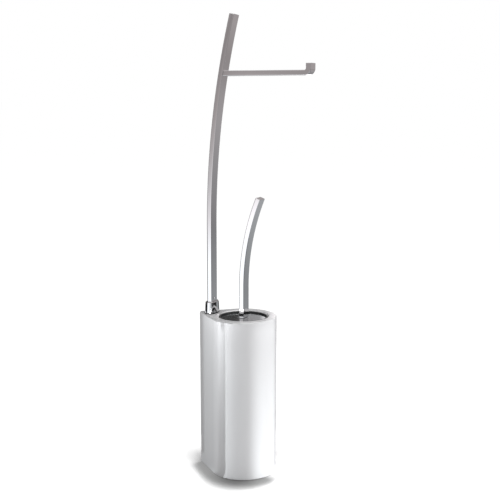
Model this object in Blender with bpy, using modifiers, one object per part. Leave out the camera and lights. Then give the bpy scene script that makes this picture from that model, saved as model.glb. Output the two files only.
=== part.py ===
"""Free-standing toilet roll holder and toilet brush set.

A gloss white container, round with one corner, carries a bent flat bar whose arm takes the roll.
The brush stands in the container under a chrome lid and lifts straight out.
Origin: on the floor, on the axis of the container's round part. +X runs from the column towards
the free end of the arm, +Z is up. Metres throughout.
"""

import bpy
import bmesh
from math import asin, copysign, cos, pi, radians, sin
from mathutils import Matrix, Vector

# Clearances
SEAT_GAP = 0.0003
SLIDE_GAP = 0.0006
SCREW_GAP = 0.0003
OVERRUN = 0.004
MERGE = 0.00001

# Container, seen from above a circle with two straight sides that meet in a corner
PLAN_RADIUS = 0.0526
CORNER_HALF_ANGLE = radians(42)
CORNER_RADIUS = 0.0042
DECK_HEIGHT = 0.255
FLOOR_LIFT = 0.001
EDGE_RADIUS = 0.0022
MOUTH_RADIUS = 0.0382
MOUTH_ROUNDING = 0.0036
MOUTH_DEPTH = 0.0150
WELL_RADIUS = 0.0369
FLOOR_THICKNESS = 0.008

# Ballast and pad under the container
PAD_THICKNESS = 0.0025
BALLAST_THICKNESS = 0.006
RECESS_MARGIN = 0.0045
RECESS_CORNER_RADIUS = 0.006
BALLAST_SCREW_ANGLES = (0, radians(125), radians(-125))
BALLAST_SCREW_MARGIN = 0.0058
BALLAST_SCREW_RADIUS = 0.0019
BALLAST_SCREW_HEAD = 0.0036
BALLAST_SCREW_LENGTH = 0.016

# Flat bar that the column, the arm and the brush handle are bent from
BAR_THICKNESS = 0.008
BAR_WIDTH = 0.020
BAR_EDGE_RADIUS = 0.0009
BAR_EDGE_STEPS = 2

# Column
COLUMN_X = -0.0548
COLUMN_STRAIGHT_TOP = 0.394
COLUMN_BEND_RADIUS = 1.339

# Collar round the foot of the column
COLLAR_HEIGHT = 0.017
COLLAR_TOP_WALL = 0.0044
COLLAR_FOOT_WALL = 0.0052
COLLAR_OVAL_POWER = 2.5
GASKET_THICKNESS = 0.001
GASKET_MARGIN = 0.0004
COLLAR_SCREW_RADIUS = 0.0012
COLLAR_SCREW_HEAD = 0.0018
COLLAR_SCREW_CROWN = 0.0012
COLLAR_SCREW_HEAD_HEIGHT = 0.0009
COLLAR_SCREW_LENGTH = 0.0042
COLLAR_SCREW_RISE = 0.0055

# Two tie rods that pull the column down on the container
TIE_RADIUS = 0.0025
TIE_SPACING = 0.010
TIE_GRIP = 0.022
TIE_NUT_RADIUS = 0.0044
TIE_NUT_HEIGHT = 0.004
TIE_END = 0.0012
CLAMP_LENGTH = 0.020
CLAMP_WIDTH = 0.010
CLAMP_THICKNESS = 0.0025
CLAMP_CORNER_RADIUS = 0.0025

# Arm that takes the roll
ARM_HEIGHT = 0.632
COLUMN_ABOVE_ARM = 0.0882
ARM_REACH = 0.1433
ARM_TIP_RISE = 0.0099
ARM_BEND_RADIUS = 0.006
ARM_SCREW_RADIUS = 0.0019
ARM_SCREW_HEAD = 0.0036
ARM_SCREW_GRIP = 0.014
ARM_SCREW_SPACING = 0.010

# Liner cup in the well
LINER_WALL = 0.0016
LINER_RIM_THICKNESS = 0.0020
LINER_LIP_THICKNESS = 0.0012
LINER_LIP_SINK = 0.0012

# Brush
LID_RADIUS = 0.0363
LID_SINK = 0.0028
LID_CROWN = 0.0008
LID_BOSS_RADIUS = 0.0112
LID_DEPTH = 0.0073
LID_WALL = 0.0015
LID_PLATE = 0.0020
LID_EDGE_RADIUS = 0.0009
SEAL_WIDTH = 0.0013
HANDLE_STRAIGHT = 0.0515
HANDLE_BEND_RADIUS = 0.373
HANDLE_BEND_ANGLE = radians(21.8)
STUD_RADIUS = 0.0025
STUD_IN_HANDLE = 0.018
STUD_IN_STEM = 0.012
WASHER_RADIUS = 0.009
WASHER_THICKNESS = 0.001
LID_NUT_RADIUS = 0.0048
LID_NUT_HEIGHT = 0.004
STEM_RADIUS = 0.0055
STEM_LENGTH = 0.0685
SPIGOT_RADIUS = 0.0032
SPIGOT_LENGTH = 0.018
CORE_RADIUS = 0.0085
CORE_LENGTH = 0.086
CORE_SHOULDER_RADIUS = 0.0015
CORE_COLLAR = 0.006

# Bristles, each a tapered strand on a sleeve or disc of the core
SLEEVE_THICKNESS = 0.0016
STRAND_COLUMNS = 20
STRAND_ROWS = 14
STRAND_INSET = 0.00075
STRAND_TIP_SHARE = 0.45
BRUSH_RADIUS = 0.0315
BRUSH_END_RADIUS = 0.0235
BRUSH_END_POWER = 4
TIP_DISC_THICKNESS = 0.0016
TIP_STRAND_COLUMNS = 12
TIP_STRAND_LENGTH = 0.0085
TIP_SPREAD_SHARE = 0.35
TIP_RING_SHARES = (0.34, 0.67, 1.0)

# Facets
ROUND_STEPS = 72
SMALL_STEPS = 20
ARC_STEPS = 4
BEND_STEP = radians(1.2)
SHARP_ANGLE = radians(30)
ROUNDED_ANGLE = radians(60)

# Levels and places that follow from the sizes above
RECESS_TOP = PAD_THICKNESS + BALLAST_THICKNESS + 2 * SEAT_GAP
WELL_FLOOR = RECESS_TOP + FLOOR_THICKNESS
LEDGE = DECK_HEIGHT - MOUTH_DEPTH
BAR_FOOT = DECK_HEIGHT + SEAT_GAP
LINER_FLOOR = WELL_FLOOR + SEAT_GAP
LINER_RIM_TOP = LEDGE + SEAT_GAP + LINER_RIM_THICKNESS
LINER_RADIUS = WELL_RADIUS - SLIDE_GAP
LINER_RIM_RADIUS = MOUTH_RADIUS - SEAT_GAP
LINER_LIP_RADIUS = LINER_RIM_RADIUS - LINER_LIP_THICKNESS
LINER_LIP_TOP = DECK_HEIGHT - LINER_LIP_SINK
LID_TOP = DECK_HEIGHT - LID_SINK
LID_FOOT = LID_TOP - LID_DEPTH
LID_UNDERSIDE = LID_TOP - LID_PLATE
SEAL_BOTTOM = LINER_RIM_TOP + SEAT_GAP
SEAL_TOP = LID_FOOT - SEAT_GAP
HANDLE_FOOT = LID_TOP + SEAT_GAP
WASHER_TOP = LID_UNDERSIDE - SEAT_GAP
LID_NUT_TOP = WASHER_TOP - WASHER_THICKNESS - SEAT_GAP
STEM_TOP = LID_NUT_TOP - LID_NUT_HEIGHT - SEAT_GAP
STEM_FOOT = STEM_TOP - STEM_LENGTH
CORE_TOP = STEM_FOOT - SEAT_GAP
CORE_FOOT = CORE_TOP - CORE_LENGTH
SLEEVE_TOP = CORE_TOP - CORE_COLLAR - SEAT_GAP
SLEEVE_FOOT = CORE_FOOT
SLEEVE_RADIUS = CORE_RADIUS + SEAT_GAP + SLEEVE_THICKNESS
COLLAR_FOOT = DECK_HEIGHT + SEAT_GAP + GASKET_THICKNESS + SEAT_GAP
COLLAR_TOP = COLLAR_FOOT + COLLAR_HEIGHT
TIE_PLACES = ((COLUMN_X, -TIE_SPACING / 2), (COLUMN_X, TIE_SPACING / 2))
POCKET_DEPTH = CLAMP_THICKNESS + TIE_NUT_HEIGHT + TIE_END + 3 * SEAT_GAP
CLAMP_TOP = RECESS_TOP + POCKET_DEPTH - SEAT_GAP
CLAMP_FOOT = CLAMP_TOP - CLAMP_THICKNESS
TIE_NUT_TOP = CLAMP_FOOT - SEAT_GAP
TIE_FOOT = TIE_NUT_TOP - TIE_NUT_HEIGHT - TIE_END
BALLAST_FOOT = PAD_THICKNESS + SEAT_GAP
BALLAST_TOP = BALLAST_FOOT + BALLAST_THICKNESS
RECESS_RADIUS = PLAN_RADIUS - RECESS_MARGIN
BALLAST_SCREW_CIRCLE = RECESS_RADIUS - BALLAST_SCREW_MARGIN


# Scene, collections and materials

for leftover in list(bpy.data.objects):
    bpy.data.objects.remove(leftover)

PARTS = bpy.data.collections.new("toilet_roll_and_brush_stand")
CUTTERS = bpy.data.collections.new("cutters")
bpy.context.scene.collection.children.link(PARTS)
bpy.context.scene.collection.children.link(CUTTERS)


def finish(name, colour, roughness, metallic):
    """A Principled material with one colour, roughness and metallic value."""
    material = bpy.data.materials.new(name)
    material.use_nodes = True
    shader = material.node_tree.nodes["Principled BSDF"]
    shader.inputs["Base Color"].default_value = (*colour, 1)
    shader.inputs["Roughness"].default_value = roughness
    shader.inputs["Metallic"].default_value = metallic
    return material


def give(piece, colour, roughness, metallic):
    """Give a sub-part a material of its own and return the sub-part."""
    piece.data.materials.clear()
    piece.data.materials.append(finish(piece.name, colour, roughness, metallic))
    return piece


def chrome(piece):
    return give(piece, (0.78, 0.77, 0.76), 0.06, 1)


def zinc_steel(piece):
    return give(piece, (0.55, 0.56, 0.58), 0.35, 1)


def black_plastic(piece):
    return give(piece, (0.03, 0.03, 0.033), 0.4, 0)


def black_rubber(piece):
    return give(piece, (0.02, 0.02, 0.02), 0.8, 0)


# Ways of making a piece

def add_mesh(name, bm):
    """Turn a bmesh into an object among the parts."""
    bmesh.ops.recalc_face_normals(bm, faces=bm.faces)
    mesh = bpy.data.meshes.new(name)
    bm.to_mesh(mesh)
    bm.free()
    mesh.shade_smooth()
    mesh.set_sharp_from_angle(angle=SHARP_ANGLE)
    piece = bpy.data.objects.new(name, mesh)
    PARTS.objects.link(piece)
    return piece


def curve_to_mesh(name, curve):
    """Replace a curve object with a mesh whose caps are welded on."""
    bpy.context.view_layer.update()
    graph = bpy.context.evaluated_depsgraph_get()
    mesh = bpy.data.meshes.new_from_object(curve.evaluated_get(graph))
    bm = bmesh.new()
    bm.from_mesh(mesh)
    bm.transform(curve.matrix_world)
    bmesh.ops.remove_doubles(bm, verts=bm.verts, dist=MERGE)
    bpy.data.objects.remove(curve)
    bpy.data.meshes.remove(mesh)
    return add_mesh(name, bm)


def poly_curve(name, points, closed):
    """A curve object through points in its own XY plane."""
    curve = bpy.data.curves.new(name + "_curve", "CURVE")
    curve.dimensions = "2D"
    spline = curve.splines.new("POLY")
    spline.points.add(len(points) - 1)
    for point, (x, y) in zip(spline.points, points):
        point.co = (x, y, 0, 1)
    spline.use_cyclic_u = closed
    drawn = bpy.data.objects.new(name + "_curve", curve)
    bpy.context.scene.collection.objects.link(drawn)
    return drawn


def slab(name, outline, foot, top):
    """A flat outline, extruded upwards between two levels."""
    drawn = poly_curve(name, outline, True)
    drawn.data.fill_mode = "BOTH"
    drawn.data.extrude = (top - foot) / 2
    drawn.location.z = (top + foot) / 2
    return curve_to_mesh(name, drawn)


def turned(name, profile, steps, ring=False):
    """A turned piece about Z; the profile runs down its outer side as (radius, height) points."""
    mesh = bpy.data.meshes.new(name)
    corners = [(radius, 0, height) for radius, height in profile]
    edges = [(i, i + 1) for i in range(len(corners) - 1)]
    if ring:
        edges.append((len(corners) - 1, 0))
    mesh.from_pydata(corners, edges, [])
    piece = bpy.data.objects.new(name, mesh)
    PARTS.objects.link(piece)
    screw = piece.modifiers.new("turn", "SCREW")
    screw.steps = steps
    screw.render_steps = steps
    screw.use_merge_vertices = True
    screw.merge_threshold = MERGE
    screw.use_smooth_shade = True
    return piece


def rod(name, radius, foot, top, sides=SMALL_STEPS):
    """A plain round or many-sided rod about Z between two levels."""
    bm = bmesh.new()
    bmesh.ops.create_cone(bm, cap_ends=True, segments=sides, radius1=radius, radius2=radius,
                          depth=top - foot, matrix=Matrix.Translation((0, 0, (top + foot) / 2)))
    return add_mesh(name, bm)


def box(name, low, high):
    """A box between two corners."""
    low = Vector(low)
    high = Vector(high)
    size = high - low
    bm = bmesh.new()
    bmesh.ops.create_cube(bm, size=1, matrix=Matrix.Translation((low + high) / 2)
                          @ Matrix.Diagonal((*size, 1)))
    return add_mesh(name, bm)


def at(piece, place):
    """Bake a move into a piece's mesh, given as a place or a matrix."""
    move = place if isinstance(place, Matrix) else Matrix.Translation(place)
    piece.data.transform(move)
    return piece


def settled(piece):
    """Replace a piece's modifiers with the mesh that they make."""
    bpy.context.view_layer.update()
    graph = bpy.context.evaluated_depsgraph_get()
    mesh = bpy.data.meshes.new_from_object(piece.evaluated_get(graph))
    piece.modifiers.clear()
    piece.data = mesh
    return piece


def cut(piece, cutter):
    """Take a cutter's shape out of a piece."""
    PARTS.objects.unlink(cutter)
    CUTTERS.objects.link(cutter)
    cutter.hide_render = True
    cutter.display_type = "WIRE"
    difference = piece.modifiers.new("cut", "BOOLEAN")
    difference.operation = "DIFFERENCE"
    difference.solver = "EXACT"
    difference.object = cutter


def soften(piece, width):
    """Round a piece's sharp edges."""
    bevel = piece.modifiers.new("edges", "BEVEL")
    bevel.width = width
    bevel.segments = ARC_STEPS
    bevel.limit_method = "ANGLE"
    bevel.angle_limit = ROUNDED_ANGLE


# Outlines

def arc(centre, radius, start, end, steps):
    """Points on an arc, its two ends among them."""
    turns = [start + (end - start) * i / steps for i in range(steps + 1)]
    return [(centre[0] + radius * cos(turn), centre[1] + radius * sin(turn)) for turn in turns]


def container_plan(radius, corner_radius):
    """A circle whose two tangents meet in a rounded corner on the -X side."""
    side = pi / 2 + CORNER_HALF_ANGLE
    corner = -(radius - corner_radius) / sin(CORNER_HALF_ANGLE)
    steps = round(ROUND_STEPS * side / pi)
    return (arc((0, 0), radius, -side, side, steps)
            + arc((corner, 0), corner_radius, side, 2 * pi - side, 2 * ARC_STEPS))


def rounded_rectangle(length, width, radius, steps=ARC_STEPS):
    """A rectangle about the origin with rounded corners."""
    points = []
    for quarter, (right, up) in enumerate(((1, 1), (-1, 1), (-1, -1), (1, -1))):
        centre = (right * (length / 2 - radius), up * (width / 2 - radius))
        points += arc(centre, radius, quarter * pi / 2, (quarter + 1) * pi / 2, steps)
    return points


def bent_bar(name, path):
    """The flat bar, swept along a path of (x, z) points, its wide faces square to the bend."""
    section = poly_curve(name + "_section", rounded_rectangle(
        BAR_THICKNESS, BAR_WIDTH, BAR_EDGE_RADIUS, BAR_EDGE_STEPS), True)
    drawn = poly_curve(name, path, False)
    drawn.data.bevel_mode = "OBJECT"
    drawn.data.bevel_object = section
    drawn.data.use_fill_caps = True
    drawn.rotation_euler.x = pi / 2
    piece = curve_to_mesh(name, drawn)
    bpy.data.objects.remove(section)
    return piece


def upward_bend(x, straight_foot, straight_top, radius, angle):
    """A path that goes straight up, then leans over towards +X."""
    steps = round(angle / BEND_STEP)
    bend = arc((x + radius, straight_top), radius, pi, pi - angle, steps)
    return [(x, straight_foot)] + bend


def column_lean(height):
    """The column's lean at a height on its bend."""
    return asin((height - COLUMN_STRAIGHT_TOP) / COLUMN_BEND_RADIUS)


def countersunk_screw(name, head_radius, radius, length):
    """A countersunk screw about Z, its flat head up at zero and its point down."""
    cone = head_radius - radius
    profile = [(0, 0), (head_radius, 0), (radius, -cone), (radius, -length), (0, -length)]
    return settled(turned(name, profile, SMALL_STEPS))


def countersunk_hole(name, head_radius, radius, length):
    """The cutter that leaves a running gap round a countersunk screw."""
    cone = head_radius - radius
    wide = head_radius + SCREW_GAP
    narrow = radius + SCREW_GAP
    profile = [(0, OVERRUN), (wide, OVERRUN), (wide, 0), (narrow, -cone),
               (narrow, -length - SCREW_GAP), (0, -length - SCREW_GAP)]
    return settled(turned(name, profile, SMALL_STEPS))


# Container

def make_container():
    """The white outer body: solid in its corner, with a round well for the liner."""
    body = slab("container_body", container_plan(PLAN_RADIUS, CORNER_RADIUS),
                FLOOR_LIFT, DECK_HEIGHT)
    soften(body, EDGE_RADIUS)
    rounding = arc((MOUTH_RADIUS + MOUTH_ROUNDING, DECK_HEIGHT - MOUTH_ROUNDING),
                   MOUTH_ROUNDING, pi / 2, pi, ARC_STEPS)
    well = [(0, DECK_HEIGHT + OVERRUN), (MOUTH_RADIUS + MOUTH_ROUNDING, DECK_HEIGHT + OVERRUN)]
    well += rounding
    well += [(MOUTH_RADIUS, LEDGE), (WELL_RADIUS, LEDGE), (WELL_RADIUS, WELL_FLOOR), (0, WELL_FLOOR)]
    cut(body, turned("well", well, ROUND_STEPS))
    cut(body, slab("base_recess", container_plan(RECESS_RADIUS, RECESS_CORNER_RADIUS),
                   -OVERRUN, RECESS_TOP))
    pocket = rounded_rectangle(CLAMP_WIDTH + 2 * SLIDE_GAP, CLAMP_LENGTH + 2 * SLIDE_GAP,
                               CLAMP_CORNER_RADIUS)
    cut(body, at(slab("nut_pocket", pocket, -OVERRUN, RECESS_TOP + POCKET_DEPTH),
                 (COLUMN_X, 0, 0)))
    for number, (x, y) in enumerate(TIE_PLACES):
        bore = rod(f"tie_bore_{number}", TIE_RADIUS + SCREW_GAP, CLAMP_FOOT, DECK_HEIGHT + OVERRUN)
        cut(body, at(bore, (x, y, 0)))
    for number, place in enumerate(ballast_screw_places()):
        depth = BALLAST_FOOT + BALLAST_SCREW_LENGTH + 2 * SCREW_GAP
        hole = rod(f"ballast_thread_{number}", BALLAST_SCREW_RADIUS + SCREW_GAP, 0, depth)
        cut(body, at(hole, place))
    return give(body, (0.86, 0.86, 0.87), 0.12, 0)


def ballast_screw_places():
    return [Vector((BALLAST_SCREW_CIRCLE * cos(turn), BALLAST_SCREW_CIRCLE * sin(turn), 0))
            for turn in BALLAST_SCREW_ANGLES]


def make_ballast():
    """A cast plate that closes the recess underneath and keeps the stand upright."""
    outline = container_plan(RECESS_RADIUS - SLIDE_GAP, RECESS_CORNER_RADIUS - SLIDE_GAP)
    plate = slab("ballast_plate", outline, BALLAST_FOOT, BALLAST_TOP)
    flip = Matrix.Rotation(pi, 4, "X")
    for number, place in enumerate(ballast_screw_places()):
        hole = countersunk_hole(f"ballast_hole_{number}", BALLAST_SCREW_HEAD,
                                BALLAST_SCREW_RADIUS, BALLAST_SCREW_LENGTH)
        cut(plate, at(hole, Matrix.Translation(place + Vector((0, 0, BALLAST_FOOT))) @ flip))
    return give(plate, (0.09, 0.09, 0.095), 0.6, 1)


def make_ballast_screws():
    flip = Matrix.Rotation(pi, 4, "X")
    for number, place in enumerate(ballast_screw_places(), 1):
        screw = countersunk_screw(f"ballast_screw_{number}", BALLAST_SCREW_HEAD,
                                  BALLAST_SCREW_RADIUS, BALLAST_SCREW_LENGTH)
        place = Matrix.Translation(place + Vector((0, 0, BALLAST_FOOT)))
        zinc_steel(at(screw, place @ flip))


def make_pad():
    """The rubber pad that the whole stand rests on."""
    outline = container_plan(RECESS_RADIUS - SLIDE_GAP, RECESS_CORNER_RADIUS - SLIDE_GAP)
    return black_rubber(slab("base_pad", outline, 0, PAD_THICKNESS))


# Column and what holds it down

def make_column():
    """The bent flat bar, with threads in its foot and screw holes for the arm and collar."""
    column = bent_bar("column", upward_bend(
        COLUMN_X, BAR_FOOT, COLUMN_STRAIGHT_TOP, COLUMN_BEND_RADIUS,
        column_lean(ARM_HEIGHT + COLUMN_ABOVE_ARM)))
    for number, (x, y) in enumerate(TIE_PLACES):
        thread = rod(f"tie_thread_{number}", TIE_RADIUS + SCREW_GAP, DECK_HEIGHT - OVERRUN,
                     BAR_FOOT + TIE_GRIP + SCREW_GAP)
        cut(column, at(thread, (x, y, 0)))
    for number, place in enumerate(arm_screw_places()):
        hole = countersunk_hole(f"arm_hole_{number}", ARM_SCREW_HEAD, ARM_SCREW_RADIUS,
                                ARM_SCREW_GRIP + 2 * BAR_THICKNESS)
        cut(column, at(hole, place))
    depth = COLLAR_SCREW_LENGTH + SCREW_GAP
    hole = rod("collar_screw_hole", COLLAR_SCREW_RADIUS + SCREW_GAP, -depth, OVERRUN)
    cut(column, at(hole, collar_screw_place()))
    return chrome(column)


def arm_seat_x():
    """Where the column's inner face is at the arm's height."""
    lean = column_lean(ARM_HEIGHT)
    return (COLUMN_X + COLUMN_BEND_RADIUS * (1 - cos(lean)) + BAR_THICKNESS / (2 * cos(lean)))


def arm_screw_places():
    """The arm's screws come from behind the column; +Z of a screw points back at -X."""
    lean = column_lean(ARM_HEIGHT)
    back = arm_seat_x() - BAR_THICKNESS / cos(lean)
    sink = BAR_THICKNESS / 2 * sin(lean) + SEAT_GAP
    turn = Matrix.Rotation(-pi / 2, 4, "Y")
    return [Matrix.Translation((back + sink, side * ARM_SCREW_SPACING / 2, ARM_HEIGHT)) @ turn
            for side in (-1, 1)]


def collar_screw_place():
    """The collar's stop screw stands in the column's inner face, just above the collar."""
    return (Matrix.Translation((COLUMN_X + BAR_THICKNESS / 2, 0, COLLAR_TOP + COLLAR_SCREW_RISE))
            @ Matrix.Rotation(pi / 2, 4, "Y"))


def collar_outline(wall):
    """The collar's outline at a wall thickness, as (x, y) points: an oval, fuller than an ellipse."""
    points = []
    for i in range(ROUND_STEPS):
        turn = 2 * pi * i / ROUND_STEPS
        x, y = (copysign(abs(way) ** (2 / COLLAR_OVAL_POWER), way) for way in (cos(turn), sin(turn)))
        points.append(((BAR_THICKNESS / 2 + wall) * x, (BAR_WIDTH / 2 + wall) * y))
    return points


def make_collar():
    """A flared oval sleeve that hides the foot of the column."""
    bm = bmesh.new()
    foot, top = ([bm.verts.new((x, y, height)) for x, y in collar_outline(wall)]
                 for wall, height in ((COLLAR_FOOT_WALL, COLLAR_FOOT), (COLLAR_TOP_WALL, COLLAR_TOP)))
    bm.faces.new(reversed(foot))
    bm.faces.new(top)
    for i, corner in enumerate(foot):
        after = (i + 1) % len(foot)
        bm.faces.new((corner, foot[after], top[after], top[i]))
    collar = at(add_mesh("column_collar", bm), (COLUMN_X, 0, 0))
    slot = rounded_rectangle(BAR_THICKNESS + 2 * SEAT_GAP, BAR_WIDTH + 2 * SEAT_GAP,
                             BAR_EDGE_RADIUS, BAR_EDGE_STEPS)
    cut(collar, at(slab("collar_slot", slot, COLLAR_FOOT - OVERRUN, COLLAR_TOP + OVERRUN),
                   (COLUMN_X, 0, 0)))
    return chrome(collar)


def make_gasket():
    """A thin gasket between the collar and the deck."""
    outline = collar_outline(COLLAR_FOOT_WALL + GASKET_MARGIN)
    foot = DECK_HEIGHT + SEAT_GAP
    gasket = at(slab("collar_gasket", outline, foot, foot + GASKET_THICKNESS), (COLUMN_X, 0, 0))
    slot = rounded_rectangle(BAR_THICKNESS + 2 * SEAT_GAP, BAR_WIDTH + 2 * SEAT_GAP,
                             BAR_EDGE_RADIUS, BAR_EDGE_STEPS)
    cut(gasket, at(slab("gasket_slot", slot, foot - OVERRUN, foot + OVERRUN), (COLUMN_X, 0, 0)))
    return black_rubber(gasket)


def make_collar_screw():
    """A small pan-head screw that stops the collar from riding up."""
    foot = SEAT_GAP
    top = foot + COLLAR_SCREW_HEAD_HEIGHT
    profile = [(0, top), (COLLAR_SCREW_CROWN, top), (COLLAR_SCREW_HEAD, foot),
               (COLLAR_SCREW_RADIUS, foot), (COLLAR_SCREW_RADIUS, -COLLAR_SCREW_LENGTH),
               (0, -COLLAR_SCREW_LENGTH)]
    screw = settled(turned("collar_screw", profile, SMALL_STEPS))
    return zinc_steel(at(screw, collar_screw_place()))


def make_tie_rods():
    for number, (x, y) in enumerate(TIE_PLACES, 1):
        tie = rod(f"tie_rod_{number}", TIE_RADIUS, TIE_FOOT, BAR_FOOT + TIE_GRIP)
        zinc_steel(at(tie, (x, y, 0)))


def make_clamp_plate():
    """The plate that spreads the nuts' pull on the roof of their pocket."""
    outline = rounded_rectangle(CLAMP_WIDTH, CLAMP_LENGTH, CLAMP_CORNER_RADIUS)
    plate = at(slab("clamp_plate", outline, CLAMP_FOOT, CLAMP_TOP), (COLUMN_X, 0, 0))
    for number, (x, y) in enumerate(TIE_PLACES):
        hole = rod(f"clamp_hole_{number}", TIE_RADIUS + SCREW_GAP, CLAMP_FOOT - OVERRUN,
                   CLAMP_TOP + OVERRUN)
        cut(plate, at(hole, (x, y, 0)))
    return zinc_steel(plate)


def hex_nut(name, radius, hole_radius, foot, top):
    """A six-sided nut about Z."""
    nut = rod(name, radius, foot, top, 6)
    cut(nut, rod(name + "_hole", hole_radius, foot - OVERRUN, top + OVERRUN))
    return settled(nut)


def make_tie_nuts():
    for number, (x, y) in enumerate(TIE_PLACES, 1):
        nut = hex_nut(f"tie_nut_{number}", TIE_NUT_RADIUS, TIE_RADIUS + SCREW_GAP,
                      TIE_NUT_TOP - TIE_NUT_HEIGHT, TIE_NUT_TOP)
        zinc_steel(at(nut, (x, y, 0)))


# Arm for the roll

def make_arm():
    """A flat bar that reaches out from the column and turns up at its end."""
    seat = arm_seat_x()
    lean = column_lean(ARM_HEIGHT)
    tip_x = seat + ARM_REACH - BAR_THICKNESS / 2
    tip_top = ARM_HEIGHT + BAR_THICKNESS / 2 + ARM_TIP_RISE
    bend = arc((tip_x - ARM_BEND_RADIUS, ARM_HEIGHT + ARM_BEND_RADIUS), ARM_BEND_RADIUS,
               -pi / 2, 0, 2 * ARC_STEPS)
    arm = bent_bar("roll_arm", [(seat - BAR_THICKNESS, ARM_HEIGHT)] + bend + [(tip_x, tip_top)])
    face = box("column_face", (-2 * BAR_WIDTH, -BAR_WIDTH, -BAR_WIDTH), (SEAT_GAP, BAR_WIDTH, BAR_WIDTH))
    cut(arm, at(face, Matrix.Translation((seat, 0, ARM_HEIGHT)) @ Matrix.Rotation(lean, 4, "Y")))
    for number, place in enumerate(arm_screw_places()):
        hole = rod(f"arm_thread_{number}", ARM_SCREW_RADIUS + SCREW_GAP,
                   -BAR_THICKNESS - ARM_SCREW_GRIP - SCREW_GAP, 0)
        cut(arm, at(hole, place))
    return chrome(arm)


def make_arm_screws():
    for number, place in enumerate(arm_screw_places(), 1):
        screw = countersunk_screw(f"arm_screw_{number}", ARM_SCREW_HEAD, ARM_SCREW_RADIUS,
                                  BAR_THICKNESS + ARM_SCREW_GRIP)
        zinc_steel(at(screw, place))


# Liner

def make_liner():
    """A cup whose rim hangs on the ledge in the mouth, with a lip that stands up round the lid."""
    inside = LINER_RADIUS - LINER_WALL
    profile = [(0, LINER_FLOOR + LINER_WALL), (inside, LINER_FLOOR + LINER_WALL),
               (inside, LINER_RIM_TOP), (LINER_LIP_RADIUS, LINER_RIM_TOP),
               (LINER_LIP_RADIUS, LINER_LIP_TOP), (LINER_RIM_RADIUS, LINER_LIP_TOP),
               (LINER_RIM_RADIUS, LEDGE + SEAT_GAP), (LINER_RADIUS, LEDGE + SEAT_GAP),
               (LINER_RADIUS, LINER_FLOOR), (0, LINER_FLOOR)]
    return black_plastic(turned("liner_cup", profile, ROUND_STEPS))


# Brush

def make_handle():
    """The brush's flat bar handle, leaning the same way as the column."""
    handle = bent_bar("brush_handle", upward_bend(
        0, HANDLE_FOOT, HANDLE_FOOT + HANDLE_STRAIGHT, HANDLE_BEND_RADIUS, HANDLE_BEND_ANGLE))
    cut(handle, rod("stud_thread", STUD_RADIUS + SCREW_GAP, HANDLE_FOOT - OVERRUN,
                    HANDLE_FOOT + STUD_IN_HANDLE + SCREW_GAP))
    return chrome(handle)


def make_lid():
    """A pressed chrome lid, slightly crowned, with a short skirt and a hole for the stud."""
    hole = STUD_RADIUS + SCREW_GAP
    edge = arc((LID_RADIUS - LID_EDGE_RADIUS, LID_TOP - LID_CROWN - LID_EDGE_RADIUS),
               LID_EDGE_RADIUS, pi / 2, 0, ARC_STEPS)
    profile = [(hole, LID_TOP), (LID_BOSS_RADIUS, LID_TOP)] + edge
    profile += [(LID_RADIUS, LID_FOOT), (LID_RADIUS - LID_WALL, LID_FOOT),
                (LID_RADIUS - LID_WALL, LID_UNDERSIDE), (hole, LID_UNDERSIDE)]
    return chrome(turned("brush_lid", profile, ROUND_STEPS, ring=True))


def make_seal():
    """The ring under the lid's skirt that sits on the liner's rim."""
    outer = LID_RADIUS - SEAT_GAP
    profile = [(outer - SEAL_WIDTH, SEAL_TOP), (outer, SEAL_TOP), (outer, SEAL_BOTTOM),
               (outer - SEAL_WIDTH, SEAL_BOTTOM)]
    return black_rubber(turned("lid_seal", profile, ROUND_STEPS, ring=True))


def make_stud():
    return zinc_steel(rod("handle_stud", STUD_RADIUS, STEM_TOP - STUD_IN_STEM,
                          HANDLE_FOOT + STUD_IN_HANDLE))


def make_washer():
    hole = STUD_RADIUS + SCREW_GAP
    foot = WASHER_TOP - WASHER_THICKNESS
    profile = [(hole, WASHER_TOP), (WASHER_RADIUS, WASHER_TOP), (WASHER_RADIUS, foot), (hole, foot)]
    return zinc_steel(turned("lid_washer", profile, 2 * SMALL_STEPS, ring=True))


def make_lid_nut():
    return zinc_steel(hex_nut("lid_nut", LID_NUT_RADIUS, STUD_RADIUS + SCREW_GAP,
                              LID_NUT_TOP - LID_NUT_HEIGHT, LID_NUT_TOP))


def make_stem():
    """The stem: a socket for the stud above and a spigot for the head below."""
    hole = STUD_RADIUS + SCREW_GAP
    socket_floor = STEM_TOP - STUD_IN_STEM - SCREW_GAP
    profile = [(0, socket_floor), (hole, socket_floor), (hole, STEM_TOP), (STEM_RADIUS, STEM_TOP),
               (STEM_RADIUS, STEM_FOOT), (SPIGOT_RADIUS, STEM_FOOT),
               (SPIGOT_RADIUS, STEM_FOOT - SPIGOT_LENGTH), (0, STEM_FOOT - SPIGOT_LENGTH)]
    return black_plastic(turned("brush_stem", profile, SMALL_STEPS))


def make_core():
    """The core of the brush head, with a collar above the bristles."""
    hole = SPIGOT_RADIUS + SCREW_GAP
    shoulder = SLEEVE_RADIUS
    socket_floor = CORE_TOP - SPIGOT_LENGTH - SCREW_GAP
    profile = [(0, socket_floor), (hole, socket_floor), (hole, CORE_TOP)]
    profile += arc((shoulder - CORE_SHOULDER_RADIUS, CORE_TOP - CORE_SHOULDER_RADIUS),
                   CORE_SHOULDER_RADIUS, pi / 2, 0, ARC_STEPS)
    profile += [(shoulder, CORE_TOP - CORE_COLLAR), (CORE_RADIUS, CORE_TOP - CORE_COLLAR),
                (CORE_RADIUS, CORE_FOOT), (0, CORE_FOOT)]
    return black_plastic(turned("head_core", profile, 2 * SMALL_STEPS))


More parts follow.
